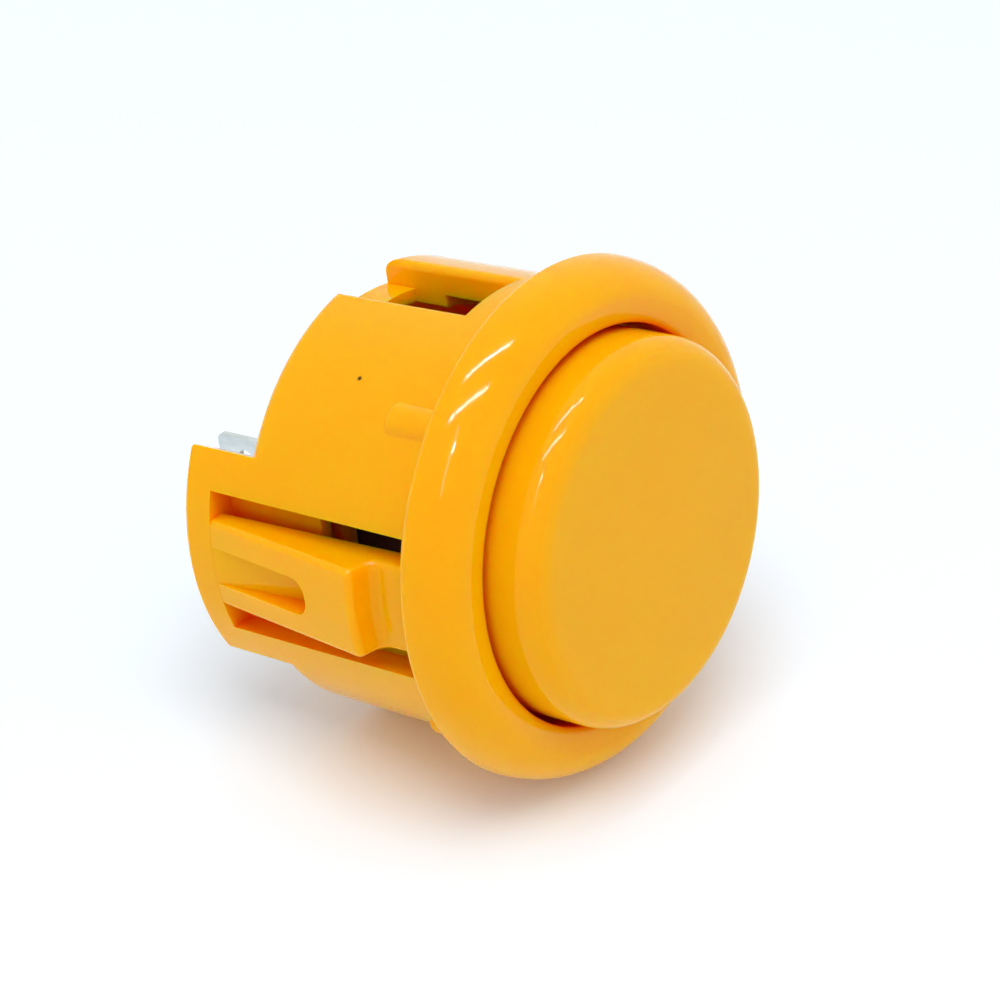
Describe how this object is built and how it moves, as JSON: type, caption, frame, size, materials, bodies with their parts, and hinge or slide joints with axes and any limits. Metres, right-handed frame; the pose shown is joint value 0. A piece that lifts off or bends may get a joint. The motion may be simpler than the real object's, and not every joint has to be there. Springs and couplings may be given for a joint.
{
  "type": "snap-in arcade push button",
  "caption": "Round snap-in push button with a domed bezel, a sprung plunger, latch arms on the barrel and a small switch with blade terminals at the back.",
  "frame": {"origin": "centre of the panel's front face, in the plane of the bezel's flat underside", "axes": "+Z is the press axis out of the panel, the latch arms are on +X and -X, the hook channels on +Y and -Y"},
  "size_m": [0.0334, 0.0334, 0.0306],
  "materials": {
    "housing_plastic": "glossy moulded yellow",
    "plunger_plastic": "satin moulded yellow",
    "switch_plastic": "moulded black",
    "pin_plastic": "moulded black",
    "spring_steel": "drawn wire",
    "contact_metal": "rolled copper alloy",
    "contact_tip": "silver alloy",
    "terminal_metal": "tin plated"
  },
  "bodies": {
    "housing": {"housing": "housing_plastic", "switch_cover": "switch_plastic", "switch_base": "switch_plastic", "return_spring": "spring_steel", "fixed_contact": "contact_tip", "common_terminal": "terminal_metal", "normally_open_terminal": "terminal_metal"},
    "plunger": {"plunger": "plunger_plastic"},
    "actuator": {"switch_actuator": "pin_plastic"},
    "blade": {"contact_blade": "contact_metal", "moving_contact": "contact_tip"}
  },
  "joints": [
    {"name": "plunger_press", "type": "slide", "parent": "housing", "child": "plunger", "axis": [0, 0, -1], "range_m": [0, 0.0022], "stiffness_N_per_m": 180, "springref_m": -0.0025, "deforming": ["return_spring"]},
    {"name": "actuator_press", "type": "slide", "parent": "housing", "child": "actuator", "axis": [0, 0, -1], "range_m": [0, 0.0022]},
    {"name": "blade_swing", "type": "hinge", "parent": "housing", "child": "blade", "pos_m": [0.00565, 0, -0.00932], "axis": [0, -1, 0], "range_deg": [0, 2.4]}
  ],
  "couplings": [
    {"joint": "actuator_press", "follows": "plunger_press", "ratio": 1},
    {"joint": "blade_swing", "follows": "plunger_press", "rad_per_m": 19.038}
  ]
}
